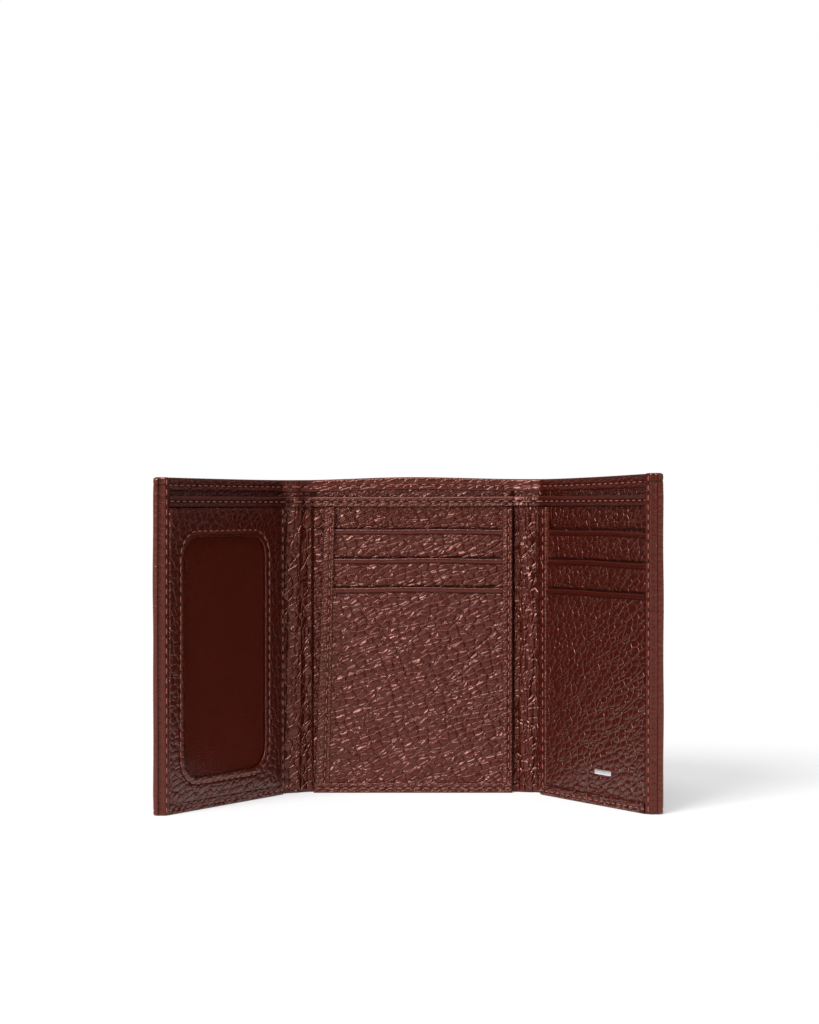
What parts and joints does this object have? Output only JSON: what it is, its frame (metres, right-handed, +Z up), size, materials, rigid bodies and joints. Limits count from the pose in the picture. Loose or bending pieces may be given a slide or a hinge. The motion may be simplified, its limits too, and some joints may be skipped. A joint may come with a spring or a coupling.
{
  "type": "trifold wallet",
  "caption": "Trifold leather wallet with card slots, an ID window pocket and a full-length bill compartment; both wings fold over the centre panel.",
  "frame": {"origin": "middle of the centre panel's lower edge on the floor plane, level with the front face of the centre panel's inner leather", "axes": "+X along the centre panel to the viewer's right when looking at the card side, +Y out through the wallet's outer back, +Z up along the wallet's height; the card side faces -Y"},
  "size_m": [0.1581, 0.0646, 0.105],
  "materials": {
    "pebbled_leather": "full-grain tumbled leather, semi-matt with a soft sheen",
    "edge_leather": "pared and turned leather edges, slightly glossier",
    "soft_leather": "thin creased leather in the fold strips",
    "lining": "fine matt woven lining",
    "clear_film": "clear flexible film",
    "thread": "tone-on-tone polyester sewing thread",
    "foil": "bright silver foil"
  },
  "bodies": {
    "centre": {"centre_bill_facing": "pebbled_leather", "centre_bill_lining": "lining", "centre_bottom_edging": "edge_leather", "centre_card_slot_1": "pebbled_leather", "centre_card_slot_2": "pebbled_leather", "centre_card_slot_3": "pebbled_leather", "centre_inner_leather": "pebbled_leather", "centre_inner_lining": "lining", "centre_left_edging": "edge_leather", "centre_outer_leather": "pebbled_leather", "centre_right_edging": "edge_leather", "centre_slot_linings": "lining", "centre_stitching": "thread", "centre_top_binding": "edge_leather", "centre_turned_edge": "edge_leather"},
    "left_fold": {"left_fold_bill_facing": "pebbled_leather", "left_fold_bill_lining": "lining", "left_fold_bottom_hem": "edge_leather", "left_fold_inner_leather": "soft_leather", "left_fold_outer_leather": "pebbled_leather", "left_fold_top_binding": "edge_leather", "left_fold_turned_edge": "edge_leather"},
    "left_wing": {"left_wing_bill_facing": "pebbled_leather", "left_wing_bill_lining": "lining", "left_wing_bottom_turned_edge": "edge_leather", "left_wing_id_backing": "lining", "left_wing_id_film": "clear_film", "left_wing_id_frame": "pebbled_leather", "left_wing_inner_edging": "edge_leather", "left_wing_inner_leather": "pebbled_leather", "left_wing_inner_lining": "lining", "left_wing_outer_leather": "pebbled_leather", "left_wing_side_turned_edge": "edge_leather", "left_wing_stitching": "thread", "left_wing_top_binding": "edge_leather", "left_wing_turned_edge": "edge_leather"},
    "right_fold": {"right_fold_bill_facing": "pebbled_leather", "right_fold_bill_lining": "lining", "right_fold_bottom_hem": "edge_leather", "right_fold_inner_leather": "soft_leather", "right_fold_outer_leather": "pebbled_leather", "right_fold_top_binding": "edge_leather", "right_fold_turned_edge": "edge_leather"},
    "right_wing": {"right_wing_bill_facing": "pebbled_leather", "right_wing_bill_lining": "lining", "right_wing_bottom_turned_edge": "edge_leather", "right_wing_card_slot_1": "pebbled_leather", "right_wing_card_slot_2": "pebbled_leather", "right_wing_card_slot_3": "pebbled_leather", "right_wing_foil_mark": "foil", "right_wing_inner_edging": "edge_leather", "right_wing_inner_leather": "pebbled_leather", "right_wing_inner_lining": "lining", "right_wing_outer_leather": "pebbled_leather", "right_wing_side_turned_edge": "edge_leather", "right_wing_slot_linings": "lining", "right_wing_stitching": "thread", "right_wing_top_binding": "edge_leather", "right_wing_turned_edge": "edge_leather"}
  },
  "joints": [
    {"name": "left_fold_hinge", "type": "hinge", "parent": "centre", "child": "left_fold", "pos_m": [-0.0335, 0, 0], "axis": [0, 0, 1], "range_deg": [-29, 61]},
    {"name": "left_wing_hinge", "type": "hinge", "parent": "left_fold", "child": "left_wing", "pos_m": [-0.0433, -0.00543, 0], "axis": [0, 0, 1], "range_deg": [-29, 61]},
    {"name": "right_fold_hinge", "type": "hinge", "parent": "centre", "child": "right_fold", "pos_m": [0.0335, 0, 0], "axis": [0, 0, -1], "range_deg": [-16.35, 33.6]},
    {"name": "right_wing_hinge", "type": "hinge", "parent": "right_fold", "child": "right_wing", "pos_m": [0.04213, -0.00254, 0], "axis": [0, 0, -1], "range_deg": [-42.6, 87.37]}
  ],
  "couplings": [
    {"joint": "left_wing_hinge", "follows": "left_fold_hinge", "ratio": 1},
    {"joint": "right_wing_hinge", "follows": "right_fold_hinge", "ratio": 2.6}
  ]
}
